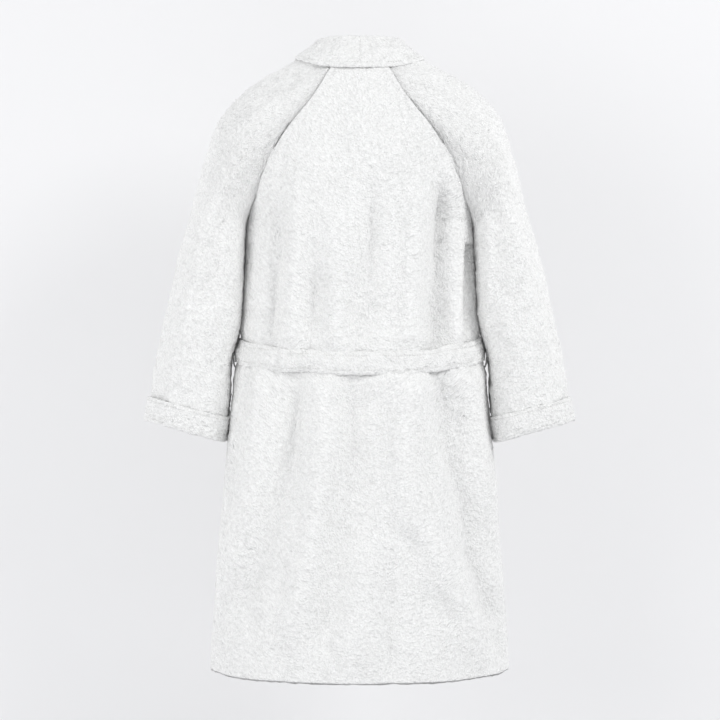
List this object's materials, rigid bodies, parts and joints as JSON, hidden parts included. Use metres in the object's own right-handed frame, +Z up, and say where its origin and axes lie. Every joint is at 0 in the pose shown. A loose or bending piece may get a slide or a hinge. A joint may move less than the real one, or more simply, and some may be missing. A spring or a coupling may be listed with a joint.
{
  "type": "bathrobe",
  "caption": "Knee-length terry bathrobe with raglan sleeves, turned cuffs, a shawl collar and a tied belt, hanging from its neck loop.",
  "frame": {"origin": "inner top of the hanger loop at the back of the neck, where a hook carries the robe", "axes": "+Z up, +X towards the wearer's left, the robe's front faces -Y"},
  "size_m": [0.754, 0.2811, 1.1193],
  "materials": {
    "terry_body": "looped cotton terry",
    "terry_sleeve": "looped cotton terry",
    "terry_cuff": "looped cotton terry, topstitched",
    "terry_collar": "looped cotton terry, rolled",
    "terry_belt": "looped cotton terry, doubled and topstitched",
    "terry_pocket": "looped cotton terry",
    "cotton_tape": "woven cotton twill tape",
    "label_tape": "smooth woven label, blank"
  },
  "bodies": {
    "root": {"back_panel": "terry_body", "front_panel_left": "terry_body", "front_panel_right": "terry_body", "sleeve_cap_left": "terry_sleeve", "sleeve_cap_right": "terry_sleeve", "collar_left": "terry_collar", "collar_right": "terry_collar", "undercollar_left": "terry_collar", "undercollar_right": "terry_collar", "back_neck_facing": "terry_body", "neck_label": "label_tape", "care_label": "label_tape", "hanger_loop": "cotton_tape", "belt": "terry_belt", "belt_knot": "terry_belt", "belt_loop_left": "cotton_tape", "belt_loop_right": "cotton_tape", "pocket_left": "terry_pocket", "pocket_right": "terry_pocket"},
    "arm_left": {"sleeve_left": "terry_sleeve", "cuff_left": "terry_cuff"},
    "arm_right": {"sleeve_right": "terry_sleeve", "cuff_right": "terry_cuff"},
    "belt_end_left": {"belt_end_left": "terry_belt"},
    "belt_end_right": {"belt_end_right": "terry_belt"},
    "front_corner": {"front_corner_left": "terry_body"}
  },
  "joints": [
    {"name": "sleeve_left_lift", "type": "hinge", "parent": "root", "child": "arm_left", "pos_m": [0.266, -0.057, -0.168], "axis": [0, -1, 0], "range_deg": [0, 60]},
    {"name": "sleeve_right_lift", "type": "hinge", "parent": "root", "child": "arm_right", "pos_m": [-0.266, -0.057, -0.168], "axis": [0, 1, 0], "range_deg": [0, 60]},
    {"name": "belt_end_left_swing", "type": "hinge", "parent": "root", "child": "belt_end_left", "pos_m": [0.02, -0.186, -0.566], "axis": [-1, 0, 0], "range_deg": [0, 70]},
    {"name": "belt_end_right_swing", "type": "hinge", "parent": "root", "child": "belt_end_right", "pos_m": [-0.026, -0.186, -0.566], "axis": [-1, 0, 0], "range_deg": [0, 70]},
    {"name": "front_corner_open", "type": "hinge", "parent": "root", "child": "front_corner", "pos_m": [-0.074, -0.193, -0.884], "axis": [-0.7418, 0, 0.6706], "range_deg": [0, 70]}
  ]
}
